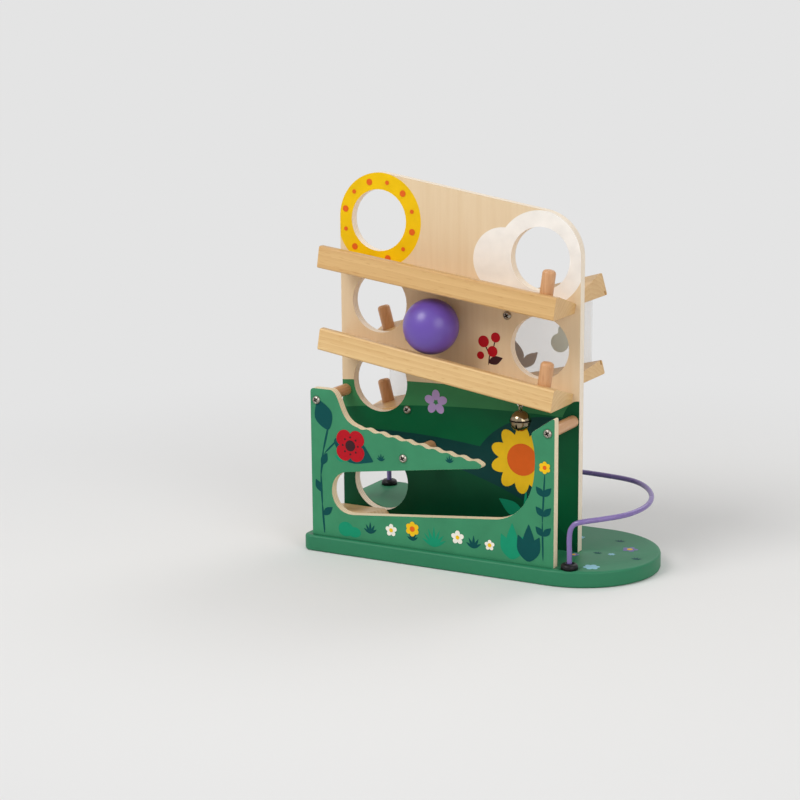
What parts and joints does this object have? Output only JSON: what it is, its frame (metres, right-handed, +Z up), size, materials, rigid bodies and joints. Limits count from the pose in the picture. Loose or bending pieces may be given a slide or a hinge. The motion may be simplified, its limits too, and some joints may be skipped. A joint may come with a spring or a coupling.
{
  "type": "ball run toy",
  "caption": "Wooden ball run: an upright board with round holes, sloping tracks on both faces, a wavy ramp, a hanging bell and a round-ended base fenced by a bent rod.",
  "frame": {"origin": "centre of the base's underside outline", "axes": "+Z up, +X towards the base's round end, -Y towards the front panel"},
  "size_m": [0.3238, 0.147, 0.3498],
  "materials": {
    "base_paint": "satin green paint",
    "birch": "clear-coated plywood with a printed face",
    "panel_paint": "satin green paint",
    "pine": "sanded and clear-coated",
    "beech": "sanded and clear-coated",
    "rod_paint": "gloss lilac paint",
    "black_rubber": "matte",
    "nickel": "bright plated",
    "ball_paint": "gloss paint",
    "clear": "clear sheet"
  },
  "bodies": {
    "stand": {"base_board": "base_paint", "centre_board": "birch", "front_panel": "panel_paint", "upper_front_track": "pine", "lower_front_track": "pine", "upper_rear_track": "pine", "lower_rear_track": "pine", "clear_panel": "clear", "upper_front_peg": "beech", "lower_front_peg": "beech", "upper_rear_peg": "beech", "lower_rear_peg": "beech", "left_dowel": "beech", "middle_dowel": "beech", "right_dowel": "beech", "upper_front_screw_left": "nickel", "upper_front_screw_right": "nickel", "lower_front_screw_left": "nickel", "lower_front_screw_right": "nickel", "upper_rear_screw_left": "nickel", "upper_rear_screw_right": "nickel", "lower_rear_screw_left": "nickel", "lower_rear_screw_right": "nickel", "panel_screw_left": "nickel", "panel_screw_middle": "nickel", "panel_screw_right": "nickel", "dowel_screw_left": "nickel", "dowel_screw_middle": "nickel", "dowel_screw_right": "nickel", "kick_block": "pine", "exit_ramp": "panel_paint", "rod_fence": "rod_paint", "front_grommet": "black_rubber", "rear_grommet": "black_rubber", "bell_eye_screw": "nickel"},
    "bell": {"bell_shell": "nickel", "bell_pellet": "nickel"},
    "ball": {"ball": "ball_paint"}
  },
  "joints": [
    {"name": "ball_roll", "type": "slide", "parent": "stand", "child": "ball", "axis": [0.9874, 0, -0.1582], "range_m": [-0.062, 0.091]},
    {"name": "bell_swing", "type": "hinge", "parent": "stand", "child": "bell", "pos_m": [0.0462, -0.0375, 0.1517], "axis": [0, 1, 0], "range_deg": [-35, 35]}
  ]
}
